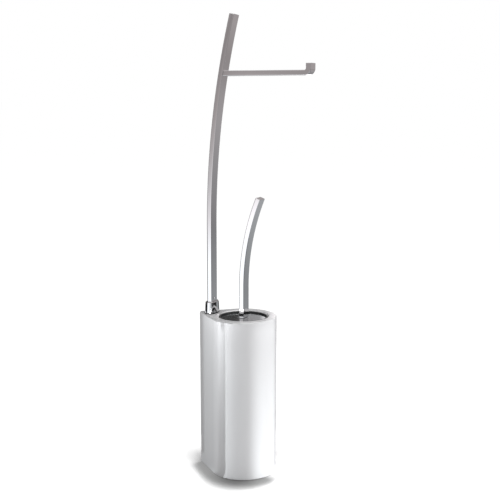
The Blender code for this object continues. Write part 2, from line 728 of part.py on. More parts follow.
def spun(corners, steps):
    """A closed loop of (radius, height) corners, spun about Z as a bmesh."""
    bm = bmesh.new()
    verts = [bm.verts.new((radius, 0, height)) for radius, height in corners]
    edges = [bm.edges.new((verts[i - 1], verts[i])) for i in range(len(verts))]
    bmesh.ops.spin(bm, geom=verts + edges, cent=(0, 0, 0), axis=(0, 0, 1), angle=2 * pi,
                   steps=steps, use_merge=True)
    bmesh.ops.remove_doubles(bm, verts=bm.verts, dist=MERGE)
    bmesh.ops.recalc_face_normals(bm, faces=bm.faces)
    return bm


def grow_strands(bm, faces, reach):
    """Grow one tapered four-sided strand from the middle of each face."""
    bmesh.ops.inset_individual(bm, faces=faces, thickness=STRAND_INSET)
    grown = bmesh.ops.extrude_discrete_faces(bm, faces=faces)["faces"]
    for face in grown:
        root = face.calc_center_median()
        tip = reach(root)
        for vert in face.verts:
            vert.co = tip + (vert.co - root) * STRAND_TIP_SHARE


def make_side_bristles():
    """A sleeve of bristles, full in the middle and shorter at both ends."""
    bore = CORE_RADIUS + SEAT_GAP
    height = SLEEVE_TOP - SLEEVE_FOOT
    outer = [(SLEEVE_RADIUS, SLEEVE_TOP - height * row / STRAND_ROWS)
             for row in range(STRAND_ROWS + 1)]
    bm = spun(outer + [(bore, SLEEVE_FOOT), (bore, SLEEVE_TOP)], STRAND_COLUMNS)
    half_a_strand = Matrix.Rotation(pi / STRAND_COLUMNS, 3, "Z")
    for vert in bm.verts:
        row = round((vert.co.z - SLEEVE_FOOT) / height * STRAND_ROWS)
        if row % 2:
            vert.co = half_a_strand @ vert.co
    faces = [face for face in bm.faces
             if all(vert.co.xy.length > SLEEVE_RADIUS - MERGE for vert in face.verts)]

    def reach(root):
        share = 2 * (root.z - SLEEVE_FOOT) / height - 1
        radius = BRUSH_RADIUS - (BRUSH_RADIUS - BRUSH_END_RADIUS) * share ** BRUSH_END_POWER
        return Vector((*(root.xy.normalized() * radius), root.z))

    grow_strands(bm, faces, reach)
    return give(add_mesh("side_bristles", bm), (0.75, 0.75, 0.76), 0.5, 0)


def make_tip_bristles():
    """A disc of bristles under the end of the head."""
    top = CORE_FOOT - SEAT_GAP
    foot = top - TIP_DISC_THICKNESS
    rings = [(SLEEVE_RADIUS * share, foot) for share in reversed(TIP_RING_SHARES)]
    bm = spun([(0, top), (SLEEVE_RADIUS, top)] + rings + [(0, foot)], TIP_STRAND_COLUMNS)
    middle = SLEEVE_RADIUS * TIP_RING_SHARES[0] - MERGE
    faces = [face for face in bm.faces if all(
        abs(vert.co.z - foot) < MERGE and vert.co.xy.length > middle for vert in face.verts)]

    def reach(root):
        return Vector((*(root.xy * (1 + TIP_SPREAD_SHARE)), root.z - TIP_STRAND_LENGTH))

    grow_strands(bm, faces, reach)
    return give(add_mesh("tip_bristles", bm), (0.75, 0.75, 0.76), 0.5, 0)


make_container()
make_ballast()
make_ballast_screws()
make_pad()
make_clamp_plate()
make_tie_rods()
make_tie_nuts()
make_column()
make_collar()
make_gasket()
make_collar_screw()
make_arm()
make_arm_screws()
make_liner()
brush_parts = [make_handle(), make_lid(), make_seal(), make_stud(), make_washer(), make_lid_nut(),
               make_stem(), make_core(), make_side_bristles(), make_tip_bristles()]

brush_lift = bpy.data.objects.new("brush_lift", None)
PARTS.objects.link(brush_lift)
for part in brush_parts:
    part.parent = brush_lift
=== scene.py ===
"""Toilet roll and brush stand: bent chrome bars on a gloss white container, with its brush."""

import bpy
import bmesh
from math import asin, atan2, copysign, cos, pi, radians, sin, sqrt, tan
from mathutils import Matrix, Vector


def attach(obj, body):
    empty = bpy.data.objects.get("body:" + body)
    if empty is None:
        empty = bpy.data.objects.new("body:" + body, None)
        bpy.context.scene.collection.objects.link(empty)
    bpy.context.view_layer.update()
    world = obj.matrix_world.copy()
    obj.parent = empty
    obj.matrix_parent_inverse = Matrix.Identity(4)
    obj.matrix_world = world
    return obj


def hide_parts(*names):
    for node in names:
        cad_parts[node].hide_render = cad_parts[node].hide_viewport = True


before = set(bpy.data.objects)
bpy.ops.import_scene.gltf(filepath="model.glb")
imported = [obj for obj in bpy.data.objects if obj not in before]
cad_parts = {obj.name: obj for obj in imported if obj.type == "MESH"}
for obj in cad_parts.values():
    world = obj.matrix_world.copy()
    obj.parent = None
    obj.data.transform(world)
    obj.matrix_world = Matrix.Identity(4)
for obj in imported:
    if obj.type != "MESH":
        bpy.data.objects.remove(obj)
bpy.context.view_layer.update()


# Camera, at the photograph's angle: 1.5 m from the stand, a little below its top, looking slightly
# down on it through a long lens.

CAMERA_LENS = 69.88
CAMERA_SENSOR = 36
CAMERA_PLACE = (0.6283, -1.3617, 0.5999)
CAMERA_TURN = (radians(80.90), 0, radians(24.36))

camera_data = bpy.data.cameras.new("camera")
camera_data.lens = CAMERA_LENS
camera_data.sensor_width = CAMERA_SENSOR
camera = bpy.data.objects.new("camera", camera_data)
camera.location = CAMERA_PLACE
camera.rotation_euler = CAMERA_TURN
bpy.context.scene.collection.objects.link(camera)
bpy.context.scene.camera = camera
bpy.context.scene.view_settings.view_transform = "Standard"


# Studio: a white floor and surround, a wide soft overhead light, a softbox on the right and a weaker
# one on the left. Painted boards stand round the stand, where only its gloss sees them, as for any
# picture of polished metal. They glow and light nothing else: painted reflections in its gloss,
# white on the left, greys in front and on the right, dark behind.

SURROUND_GLOW = 1
ROOM_LIGHT = 0.29


def start_nodes(material):
    """Start a material with nodes and hand back its tree and its output."""
    material.use_nodes = True
    tree = material.node_tree
    tree.nodes.clear()
    return tree, tree.nodes.new("ShaderNodeOutputMaterial")


def worked_out(tree, kind, operation, first, second):
    """A step of arithmetic between two values, each of them a link, a number or a vector."""
    step = tree.nodes.new(kind)
    step.operation = operation
    for socket, value in zip(step.inputs, (first, second)):
        if isinstance(value, bpy.types.NodeSocket):
            tree.links.new(value, socket)
        else:
            socket.default_value = value
    return step.outputs


def number_step(tree, operation, first, second):
    """One step of arithmetic that gives a number."""
    return worked_out(tree, "ShaderNodeMath", operation, first, second)["Value"]


def vector_step(tree, operation, first, second):
    """One step of vector arithmetic, which gives a vector, or a number from a dot product."""
    outputs = worked_out(tree, "ShaderNodeVectorMath", operation, first, second)
    return outputs["Value" if operation == "DOT_PRODUCT" else "Vector"]


def ranged(tree, value, from_min, from_max, low, high, smooth=False):
    """Bring one range of numbers to another."""
    node = tree.nodes.new("ShaderNodeMapRange")
    node.interpolation_type = "SMOOTHSTEP" if smooth else "LINEAR"
    node.inputs["From Min"].default_value = from_min
    node.inputs["From Max"].default_value = from_max
    node.inputs["To Min"].default_value = low
    node.inputs["To Max"].default_value = high
    tree.links.new(value, node.inputs["Value"])
    return node.outputs["Result"]


def background_rays(tree):
    """1 for rays from the camera, from gloss or through glass, which all see the background."""
    path = tree.nodes.new("ShaderNodeLightPath")
    total = path.outputs["Is Camera Ray"]
    for ray in ("Is Glossy Ray", "Is Transmission Ray"):
        total = number_step(tree, "MAXIMUM", total, path.outputs[ray])
    return total


world = bpy.data.worlds.new("surround")
bpy.context.scene.world = world
world.use_nodes = True
tree = world.node_tree
tree.nodes.clear()
choose = tree.nodes.new("ShaderNodeMixShader")
tree.links.new(background_rays(tree), choose.inputs[0])
for socket, strength in ((1, ROOM_LIGHT), (2, SURROUND_GLOW)):
    around = tree.nodes.new("ShaderNodeBackground")
    around.inputs["Color"].default_value = (1, 1, 1, 1)
    around.inputs["Strength"].default_value = strength
    tree.links.new(around.outputs[0], choose.inputs[socket])
tree.links.new(choose.outputs[0], tree.nodes.new("ShaderNodeOutputWorld").inputs["Surface"])

FLOOR_REACH = 40
FLOOR_PAINT = 0.6
FLOOR_GLOW = 0.77

floor_mesh = bpy.data.meshes.new("floor")
floor_corners = [(FLOOR_REACH * right, FLOOR_REACH * back, 0)
                 for right, back in ((-1, -1), (1, -1), (1, 1), (-1, 1))]
floor_mesh.from_pydata(floor_corners, [], [(0, 1, 2, 3)])
floor = bpy.data.objects.new("floor", floor_mesh)
bpy.context.scene.collection.objects.link(floor)

# painted shadow in the floor's colour and glow, from what the stand hides from the floor that looks
# towards it: deepest in front, longest round the back on the left, and fading out on the right
FROM_FRONT = (-0.17, 0.98, 0)
FRONT_FALLOFF = 4
FROM_BEHIND = (0.1, -1, 0)
BEHIND_START = 0.03
BEHIND_END = 0.40
FROM_LEFT = (0.87, 0.5, 0)
LOOK_UP = (0, 0, 0.33)
SIDE_LOOK = 0.40
FRONT_LOOK = 1
BEHIND_LOOK = 0.85
SIDE_DEPTH = 0.029
FRONT_DEPTH = 0.056
BEHIND_DEPTH = 0.088
RIGHT_DEPTH = 0.7
RIGHT_DEPTH_START = -0.5
RIGHT_DEPTH_END = -0.88
SIDE_DARK = 0.33
FRONT_DARK = 0.14
HIDDEN = 0.5
OPEN = 0.93
FADE_START = -0.55
FADE_END = -0.92


def ranged_round(tree, in_front, value, from_min, from_max, side, front, high, smooth=False):
    """Bring one range of numbers to another, whose low end differs at the side and in front."""
    result = ranged(tree, value, from_min, from_max, side, high, smooth)
    tree.links.new(ranged(tree, in_front, 0, 1, side, front), result.node.inputs["To Min"])
    return result


floor_white = bpy.data.materials.new("floor_white")
tree, output = start_nodes(floor_white)
place = tree.nodes.new("ShaderNodeTexCoord")
towards = vector_step(tree, "SUBTRACT", (0, 0, 0), place.outputs["Object"])
towards = vector_step(tree, "NORMALIZE", towards, (0, 0, 0))
from_front = vector_step(tree, "DOT_PRODUCT", towards, FROM_FRONT)
from_behind = vector_step(tree, "DOT_PRODUCT", towards, FROM_BEHIND)
from_left = vector_step(tree, "DOT_PRODUCT", towards, FROM_LEFT)
in_front = number_step(tree, "POWER", ranged(tree, from_front, 0, 1, 0, 1), FRONT_FALLOFF)

shade = tree.nodes.new("ShaderNodeAmbientOcclusion")
shade.samples = 16
look = ranged_round(tree, in_front, from_behind, BEHIND_START, BEHIND_END,
                    SIDE_LOOK, FRONT_LOOK, BEHIND_LOOK)
slant = vector_step(tree, "MULTIPLY", towards, look)
tree.links.new(vector_step(tree, "ADD", slant, LOOK_UP), shade.inputs["Normal"])
depth = ranged_round(tree, in_front, from_behind, BEHIND_START, BEHIND_END,
                     SIDE_DEPTH, FRONT_DEPTH, BEHIND_DEPTH)
shorter = ranged(tree, from_left, RIGHT_DEPTH_END, RIGHT_DEPTH_START, RIGHT_DEPTH, 1)
tree.links.new(number_step(tree, "MULTIPLY", shorter, depth), shade.inputs["Distance"])

shaded = ranged_round(tree, in_front, shade.outputs["AO"], HIDDEN, OPEN,
                      SIDE_DARK, FRONT_DARK, 1, smooth=True)
# painted shadow: the floor's colour and glow darken by it, and it fades out on the right by place
# alone
kept = ranged(tree, from_left, FADE_END, FADE_START, 0, 1, smooth=True)
painted_shadow = ranged(tree, kept, 0, 1, 1, 0)
tree.links.new(shaded, painted_shadow.node.inputs["To Max"])
matt = tree.nodes.new("ShaderNodeBsdfDiffuse")
tree.links.new(number_step(tree, "MULTIPLY", painted_shadow, FLOOR_PAINT), matt.inputs["Color"])
glow = tree.nodes.new("ShaderNodeEmission")
tree.links.new(painted_shadow, glow.inputs["Color"])
tree.links.new(number_step(tree, "MULTIPLY", background_rays(tree), FLOOR_GLOW),
               glow.inputs["Strength"])
both = tree.nodes.new("ShaderNodeAddShader")
tree.links.new(matt.outputs[0], both.inputs[0])
tree.links.new(glow.outputs[0], both.inputs[1])
tree.links.new(both.outputs[0], output.inputs["Surface"])
floor_mesh.materials.append(floor_white)

OVERHEAD_LIGHT = 0.3
OVERHEAD_SPREAD = radians(30)
OVERHEAD_PLACE = (0.25, 0.45, 3.0)
RIGHT_LIGHT = 26
LEFT_LIGHT = 6.5
SOFTBOX_AIM = (0, 0, 0.15)


def hang(name, light, place, aim):
    """Put a lamp at a place, facing a point."""
    lamp = bpy.data.objects.new(name, light)
    lamp.location = place
    lamp.rotation_euler = (Vector(aim) - Vector(place)).to_track_quat("-Z", "Y").to_euler()
    bpy.context.scene.collection.objects.link(lamp)


overhead = bpy.data.lights.new("overhead_light", "SUN")
overhead.energy = OVERHEAD_LIGHT
overhead.angle = OVERHEAD_SPREAD
hang("overhead_light", overhead, OVERHEAD_PLACE, (0, 0, 0))

for name, width, height, power, place in (
        ("right_softbox", 1.0, 1.4, RIGHT_LIGHT, (1.7, 0.1, 0.9)),
        ("left_softbox", 0.8, 1.2, LEFT_LIGHT, (-1.3, -1.1, 1.0))):
    softbox = bpy.data.lights.new(name, "AREA")
    softbox.shape = "RECTANGLE"
    softbox.size = width
    softbox.size_y = height
    softbox.energy = power
    hang(name, softbox, place, SOFTBOX_AIM)


def ramp(value, stops):
    """Read a value off a few stops, each a place and a level."""
    if value <= stops[0][0]:
        return stops[0][1]
    for (low, start), (high, end) in zip(stops, stops[1:]):
        if value <= high:
            return start + (end - start) * (value - low) / (high - low)
    return stops[-1][1]


def blended(first, second, share):
    """A value between two others."""
    return first + (second - first) * share


def board_shade(bearing, height):
    """The wide boards' paint at a bearing in degrees from +X and a height in metres."""
    low = ramp(height, ((0.26, 1), (0.34, 0)))
    dark = 0.06 - 0.04 * low
    facing = ramp(bearing, ((-38, 1), (-30, 0)))
    front = ramp(height, ((0.5, 0.27), (0.6, 0.35), (0.85, 0.36), (0.95, 1.2)))
    front += facing * ramp(height, ((0.42, 0.5), (0.5, 0))) - low * 0.25 * (1 - facing)
    sweep = height - ramp(bearing, ((-119.5, 0), (-115.5, 0.10)))
    white = ramp(sweep, ((0.20, 1.4), (0.25, 1.15), (0.38, 0.66), (0.47, 0.50), (0.57, 0.37),
                         (0.70, 0.28), (0.80, 0.38)))
    grey = ramp(height, ((0.10, 0.33), (0.28, 0.25), (0.46, 0.40), (0.54, 0.30), (0.60, 0.39)))
    grey += ramp(bearing, ((66, 0), (76, 0.16))) * ramp(height, ((0.2, 1), (0.35, 0)))
    if bearing < -125:
        behind = ramp(height, ((0.23, dark), (0.33, 0.45), (0.57, 0.36)))
        return blended(behind, white, ramp(bearing, ((-129, 0), (-125, 1))))
    if bearing < 20:
        edge = -112 + 20 * low
        return blended(front, white, ramp(bearing, ((edge, 1), (edge + 8, 0))))
    if bearing < 65:
        share = (1 - low) * ramp(bearing, ((20, 0), (40, 1)))
        share += low * ramp(bearing, ((60.5, 0), (62.5, 1)))
        return blended(front, grey, share)
    share = (1 - low) * ramp(bearing, ((114.5, 1), (116, 0)))
    share += low * ramp(bearing, ((75.5, 1), (77.5, 0)))
    deck_light = 1.4 * ramp(height, ((0.34, 0), (0.38, 1), (0.54, 1), (0.6, 0)))
    deck_light *= ramp(bearing, ((88, 0), (92, 1), (109.7, 1), (110.3, 0)))
    return blended(dark, grey, share) + deck_light


FOLD_LEFT = 30.6
FOLD_RIGHT = 31.0
CLOSE_LEVELS = (0.013, 0.035, 0.075, 0.125, 0.18, 0.215, 0.24, 0.244)


def up_the_side(height, *strengths):
    """Read a value off its strengths at the close boards' levels, from the lowest up."""
    return ramp(height, tuple(zip(CLOSE_LEVELS, strengths)))


def close_shade(run, height):
    """The close boards' paint, by how far round they are in millimetres and how high in metres."""
    # bands of light: one on the left that ends at the fold, a strip that starts there, one on the
    # right; set from the light that the gloss would need to look as in the photograph
    left = ramp(run, ((-100, 0.04), (-86, 0.1), (-60, 0.17), (-30, 0.23), (-4, 0.5), (10, 1),
                      (22, 0.9), (FOLD_LEFT, 0.7), (FOLD_RIGHT, 0)))
    left *= up_the_side(height, 0.5, 0.7, 1.6, 2.8, 5, 7.3, 10.5)
    strip = ramp(run, ((FOLD_LEFT, 0), (FOLD_RIGHT, 1), (39, 1), (48, 0.82), (60, 0.53),
                       (72, 0.33), (85, 0.15), (100, 0)))
    strip *= up_the_side(height, 4.7, 5, 5.5, 6, 7.8, 8.3, 11)
    right = ramp(run, ((92, 0), (102, 0.2), (119, 0.75), (128, 0.95), (139, 1), (150, 0.9),
                       (163, 0.7), (178, 0.55), (191, 0.42), (210, 0.15), (230, 0.05)))
    right *= up_the_side(height, 8.3, 7.8, 6.4, 4.9, 3.1, 2.3, 3.3, 0.3)
    # a light over the whole front that makes up for a weak left softbox, the same all the way up but
    # for a gap low down, left of the fold
    even = ramp(run, ((-97, 0), (-89, 0.58), (-47, 0.58), (-32, 0.65), (-19, 0.86), (1, 1.4),
                      (12, 1.67), (36, 1.57), (56, 1.25), (73, 0.88), (100, 0.5), (138, 0.2),
                      (160, 0)))
    even *= 1 - (ramp(run, ((-4, 0), (8, 1), (29, 1), (31, 0)))
                 * ramp(height, ((0.08, 1), (0.142, 0.5), (0.2, 0))))
    # painted shade: the boards are dimmed by up to a half along a short run at their top
    near_handle = ramp(run, ((12, 0), (18, 1), (25, 1), (30, 0)))
    near_handle *= ramp(height, ((0.237, 0), (0.241, 0.5)))
    return (left + strip + right + even) * (1 - near_handle)


# the boards glow by their paint and are seen only in gloss, where they are painted reflections
board_paint = bpy.data.materials.new("board_paint")
tree, output = start_nodes(board_paint)
painted = tree.nodes.new("ShaderNodeAttribute")
painted.attribute_name = "paint"
lit = tree.nodes.new("ShaderNodeEmission")
tree.links.new(painted.outputs["Color"], lit.inputs["Color"])
tree.links.new(lit.outputs[0], output.inputs["Surface"])
board_paint.cycles.emission_sampling = "NONE"

BOARD_FOOT = 0.001
BOARD_RED = ((0.18, 0.965), (0.26, 0.99), (0.30, 1.02), (0.40, 1.03), (0.55, 1.085))
BOARD_BLUE = ((0.30, 1.03), (0.55, 1))


def board(name, route, foot, top, shade_at, rows):
    """Stand a painted board on its foot's (x, y) points, along a route of (x, y, where) points."""
    verts, shades = [], []
    for (x, y, where), start in zip(route, foot):
        for row in range(rows + 1):
            height = BOARD_FOOT + (top - BOARD_FOOT) * max(row - 1, 0) / (rows - 1)
            verts.append((x, y, height) if row else (start[0], start[1], height))
            shades.append(shade_at(where, height))
    faces = []
    for turn in range(len(route) - 1):
        for row in range(rows):
            low = turn * (rows + 1) + row
            faces.append((low, low + rows + 1, low + rows + 2, low + 1))
    mesh = bpy.data.meshes.new(name)
    mesh.from_pydata(verts, [], faces)
    paint = mesh.color_attributes.new("paint", "FLOAT_COLOR", "POINT")
    for dab, vert, shade in zip(paint.data, verts, shades):
        dab.color = (shade * ramp(vert[2], BOARD_RED), shade, shade * ramp(vert[2], BOARD_BLUE), 1)
    mesh.materials.append(board_paint)
    stood = bpy.data.objects.new(name, mesh)
    bpy.context.scene.collection.objects.link(stood)
    stood.visible_camera = False
    stood.visible_diffuse = False
    stood.visible_shadow = False
    stood.visible_transmission = False


WIDE_RADIUS = 0.80
wide_route = [(WIDE_RADIUS * cos(radians(bearing)), WIDE_RADIUS * sin(radians(bearing)), bearing)
              for bearing in range(-180, 181)]
board("wide_boards", wide_route, wide_route, top=1.5, shade_at=board_shade, rows=61)

# the close boards follow the container's flat side and its round part, 20 mm out; most of the light
# and shade that the container shows from the photograph's side comes from them
PLAN_RADIUS = 0.05256
CLOSE_GAP = 0.020
FOOT_GAP = 0.001
CLOSE_START = radians(-132)
FLAT_RUN = 104
FLAT_STEP = 2
ROUND_RUN = 230
STEPS_PER_MILLIMETRE = 4

close_route, close_foot = [], []
facing = Vector((cos(CLOSE_START), sin(CLOSE_START)))
flat_way = Vector((sin(CLOSE_START), -cos(CLOSE_START)))
for run in range(-FLAT_RUN, 0, FLAT_STEP):
    edge = facing * PLAN_RADIUS - flat_way * run / 1000
    close_route.append((*(edge + facing * CLOSE_GAP), run))
    close_foot.append(edge + facing * FOOT_GAP)
for step in range(ROUND_RUN * STEPS_PER_MILLIMETRE + 1):
    run = step / STEPS_PER_MILLIMETRE
    turn = CLOSE_START + run / 1000 / (PLAN_RADIUS + CLOSE_GAP)
    facing = Vector((cos(turn), sin(turn)))
    close_route.append((*(facing * (PLAN_RADIUS + CLOSE_GAP)), run))
    close_foot.append(facing * (PLAN_RADIUS + FOOT_GAP))
board("close_boards", close_route, close_foot, top=0.252, shade_at=close_shade, rows=26)

# more boards lie on the floor, so that the bars' gloss sees a floor with some grey in it from above
MAT_GREY = 0.42
MAT_CHANGE = 0.30
MAT_FIELDS = 3
MAT_NARROWING = 4


def mat_shade(bearing, height):
    """The floor boards' paint, lighter and darker by turns round the stand, at any height."""
    return MAT_GREY + MAT_CHANGE * cos(radians(MAT_FIELDS * bearing))


mat_foot = [(x / MAT_NARROWING, y / MAT_NARROWING) for x, y, _ in wide_route]
board("floor_boards", wide_route, mat_foot, top=0.002, shade_at=mat_shade, rows=2)


# Container: a gloss white moulded body, round with two flat sides that run into a corner. Its rim
# and its mouth are rounded over, and it is hollow for the liner, with a recess underneath.

ARC_STEPS = 8
SHARP = radians(32)


def arc(centre, radius, start, end, steps=ARC_STEPS):
    """Points on an arc, its two ends among them."""
    turns = [start + (end - start) * i / steps for i in range(steps + 1)]
    return [(centre[0] + radius * cos(turn), centre[1] + radius * sin(turn)) for turn in turns]


def smooth_piece(name, bm):
    """Turn a bmesh into a piece, smooth but for its true edges, with its flats kept flat."""
    bmesh.ops.recalc_face_normals(bm, faces=bm.faces)
    mesh = bpy.data.meshes.new(name)
    bm.to_mesh(mesh)
    bm.free()
    mesh.shade_smooth()
    mesh.set_sharp_from_angle(angle=SHARP)
    piece = bpy.data.objects.new(name, mesh)
    bpy.context.scene.collection.objects.link(piece)
    flats = piece.modifiers.new("flats", "WEIGHTED_NORMAL")
    flats.keep_sharp = True
    return piece


def skin(name, rings, ring_ends=False):
    """A closed, smooth mesh over rings of points; one point is an end, and open ends are capped."""
    bm = bmesh.new()
    rows = [[bm.verts.new(point) for point in ring] for ring in rings]
    pairs = list(zip(rows, rows[1:]))
    if ring_ends:
        pairs.append((rows[-1], rows[0]))
    for low, high in pairs:
        for i in range(max(len(low), len(high))):
            corners = (low[i % len(low)], low[(i + 1) % len(low)],
                       high[(i + 1) % len(high)], high[i % len(high)])
            bm.faces.new(tuple(dict.fromkeys(corners)))
    if not ring_ends:
        for row in (rows[0], rows[-1]):
            if len(row) > 1:
                bm.faces.new(row)
    return smooth_piece(name, bm)


def noise(tree, scale, detail, stretch=(1, 1, 1)):
    """A noise in the piece's own space, stretched along its axes."""
    place = tree.nodes.new("ShaderNodeTexCoord")
    mapping = tree.nodes.new("ShaderNodeMapping")
    mapping.inputs["Scale"].default_value = stretch
    texture = tree.nodes.new("ShaderNodeTexNoise")
    texture.inputs["Scale"].default_value = scale
    texture.inputs["Detail"].default_value = detail
    tree.links.new(place.outputs["Object"], mapping.inputs["Vector"])
    tree.links.new(mapping.outputs["Vector"], texture.inputs["Vector"])
    return texture.outputs["Fac"]


NOISE_LOW = 0.3
NOISE_HIGH = 0.7


def spread(tree, value, low, high):
    """Bring a noise's middle range to the range between two numbers."""
    return ranged(tree, value, NOISE_LOW, NOISE_HIGH, low, high)


def tinted(tree, value, low, high):
    """A colour between two colours, by a noise."""
    mixed = tree.nodes.new("ShaderNodeMix")
    mixed.data_type = "RGBA"
    mixed.inputs["A"].default_value = (*low, 1)
    mixed.inputs["B"].default_value = (*high, 1)
    tree.links.new(value, mixed.inputs["Factor"])
    return mixed.outputs["Result"]


def raised(tree, shader, value, depth, strength):
    """Let a noise stand up from the surface by a depth in metres."""
    bump = tree.nodes.new("ShaderNodeBump")
    bump.inputs["Strength"].default_value = strength
    bump.inputs["Distance"].default_value = depth
    tree.links.new(value, bump.inputs["Height"])
    tree.links.new(bump.outputs["Normal"], shader.inputs["Normal"])


def finish(name, metallic=0.0):
    """A new Principled material."""
    material = bpy.data.materials.new(name)
    tree, output = start_nodes(material)
    shader = tree.nodes.new("ShaderNodeBsdfPrincipled")
    shader.inputs["Metallic"].default_value = metallic
    tree.links.new(shader.outputs[0], output.inputs["Surface"])
    return material, tree, shader


def grained(name, tint, roughness, relief=None, metallic=0.0):
    """A finish in which noises vary the colour and the roughness between two values, and may raise
    a relief of a depth and a strength. A noise is its scale and detail, and its stretch if any."""
    material, tree, shader = finish(name, metallic)
    grain, dark, light = tint
    tree.links.new(tinted(tree, noise(tree, *grain), dark, light), shader.inputs["Base Color"])
    grain, smoothest, roughest = roughness
    tree.links.new(spread(tree, noise(tree, *grain), smoothest, roughest), shader.inputs["Roughness"])
    if relief:
        grain, depth, strength = relief
        raised(tree, shader, noise(tree, *grain), depth, strength)
    return material


CORNER_HALF_ANGLE = radians(42)
CORNER_RADIUS = 0.0042
DECK = 0.255
FOOT = 0.001
EDGE = 0.0022
MOUTH_RADIUS = 0.0382
MOUTH_ROUNDING = 0.0036
MOUTH_STEPS = 12
LEDGE = 0.240
WELL_RADIUS = 0.0369
WELL_FLOOR = 0.0171
RECESS_RADIUS = 0.0481
RECESS_CORNER = 0.006
RECESS_TOP = 0.0091
ROUND_STEPS = 176
CORNER_STEPS = 16
SIDE_STEPS = 22
WALL_STEPS = 12


def container_level(radius, corner_radius, height):
    """The container's outline at one level."""
    side = pi / 2 + CORNER_HALF_ANGLE
    corner = -(radius - corner_radius) / sin(CORNER_HALF_ANGLE)
    round_part = arc((0, 0), radius, -side, side, ROUND_STEPS)
    corner_part = arc((corner, 0), corner_radius, side, 2 * pi - side, CORNER_STEPS)

    def flat(start, end):
        return [(start[0] + (end[0] - start[0]) * i / SIDE_STEPS,
                 start[1] + (end[1] - start[1]) * i / SIDE_STEPS) for i in range(1, SIDE_STEPS)]

    outline = (round_part + flat(round_part[-1], corner_part[0]) + corner_part
               + flat(corner_part[-1], round_part[0]))
    return [(x, y, height) for x, y in outline]


def edge_levels(middle, start, end):
    """The container's outline at levels round one of its outer edges."""
    return [container_level(PLAN_RADIUS - EDGE + inset, CORNER_RADIUS - EDGE + inset, height)
            for inset, height in arc((0, middle), EDGE, start, end)]


def mouth_level(radius, height):
    """A round level inside the container, point for point under its outline."""
    return [(radius * cos(atan2(y, x)), radius * sin(atan2(y, x)), height)
            for x, y, _ in container_level(PLAN_RADIUS, CORNER_RADIUS, 0)]


levels = [container_level(RECESS_RADIUS, RECESS_CORNER, RECESS_TOP),
          container_level(RECESS_RADIUS, RECESS_CORNER, FOOT)]
levels += edge_levels(FOOT + EDGE, -pi / 2, 0)
for step in range(1, WALL_STEPS):
    height = FOOT + EDGE + (DECK - FOOT - 2 * EDGE) * step / WALL_STEPS
    levels.append(container_level(PLAN_RADIUS, CORNER_RADIUS, height))
levels += edge_levels(DECK - EDGE, 0, pi / 2)
levels += [mouth_level(radius, height)
           for radius, height in arc((MOUTH_RADIUS + MOUTH_ROUNDING, DECK - MOUTH_ROUNDING),
                                     MOUTH_ROUNDING, pi / 2, pi, MOUTH_STEPS)]
levels += [mouth_level(MOUTH_RADIUS, LEDGE), mouth_level(WELL_RADIUS, LEDGE),
           mouth_level(WELL_RADIUS, WELL_FLOOR)]
container = skin("container_shell", levels)

gloss_white = grained("gloss_white",
                      tint=((9, 3), (0.80, 0.80, 0.815), (0.83, 0.83, 0.84)),
                      roughness=((30, 5), 0.02, 0.05),
                      relief=((120, 2), 0.00001, 0.2))
container.data.materials.append(gloss_white)
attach(container, "stand")
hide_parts("container_body")


# Underneath: a cast plate in the recess keeps the stand upright, three countersunk screws hold it,
# and a thin rubber pad over it is what the stand rests on.

def dress(node, material):
    """Give a CAD node a finish."""
    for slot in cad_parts[node].material_slots:
        slot.link = "OBJECT"
        slot.material = material


cast_iron = grained("cast_iron", metallic=0.85,
                    tint=((180, 6), (0.06, 0.06, 0.063), (0.12, 0.12, 0.125)),
                    roughness=((240, 4), 0.5, 0.75),
                    relief=((700, 6), 0.0002, 0.5))
zinc = grained("zinc_plate", metallic=1,
               tint=((320, 4), (0.46, 0.48, 0.50), (0.62, 0.63, 0.63)),
               roughness=((500, 3), 0.24, 0.42),
               relief=((1500, 3), 0.00003, 0.4))
rubber = grained("black_rubber",
                 tint=((90, 5), (0.014, 0.014, 0.015), (0.030, 0.030, 0.031)),
                 roughness=((400, 3), 0.7, 0.9),
                 relief=((1600, 3), 0.0001, 0.4))
dress("ballast_plate", cast_iron)
dress("base_pad", rubber)
for number in (1, 2, 3):
    dress(f"ballast_screw_{number}", zinc)


# Column: 8 by 20 mm flat bar, bent cold on a large radius and chromed all over, with its back edges
# rubbed rounder than its front ones. Two tie rods pull it down on the container's solid corner; it
# hides their ends.

BAR_THICKNESS = 0.008
BAR_WIDTH = 0.020
BAR_EDGE = 0.0009
BAR_BACK_EDGE = 0.0018
BAR_END = 0.0005
BAR_END_STEPS = 4
BEND_LEAD = 0.004
BEND_STEPS = 48


def rounded_rectangle(length, width, right_radius, left_radius, steps=4):
    """A rectangle about the origin with rounded corners, as points."""
    points = []
    for quarter, (right, up) in enumerate(((1, 1), (-1, 1), (-1, -1), (1, -1))):
        radius = right_radius if right > 0 else left_radius
        centre = (right * (length / 2 - radius), up * (width / 2 - radius))
        points += arc(centre, radius, quarter * pi / 2, (quarter + 1) * pi / 2, steps)
    return points


def flat_bar(name, path, back_edge, foot_slope=0.0):
    """Sweep the flat bar along (x, z, turn) points; turn is the bar's lean from upright."""

    def ring(x, z, turn, inset, ahead, slope=0.0):
        along = Vector((sin(turn), 0, cos(turn)))
        across = Vector((cos(turn), 0, -sin(turn)))
        outline = rounded_rectangle(BAR_THICKNESS - 2 * inset, BAR_WIDTH - 2 * inset,
                                    BAR_EDGE - inset / 2, back_edge - inset / 2)
        centre = Vector((x, 0, z)) + along * ahead
        return [centre + across * a + Vector((0, b, 0)) + along * a * slope for a, b in outline]

    softened = []
    for step in range(BAR_END_STEPS + 1):
        turn = pi / 2 * step / BAR_END_STEPS
        softened.append((BAR_END * (1 - cos(turn)), BAR_END * (1 - sin(turn))))
    rings = [ring(*path[0], inset, ahead, foot_slope) for inset, ahead in reversed(softened)]
    rings += [ring(*place, 0, 0) for place in path[1:-1]]
    rings += [ring(*path[-1], inset, -ahead) for inset, ahead in softened]
    return skin(name, rings)


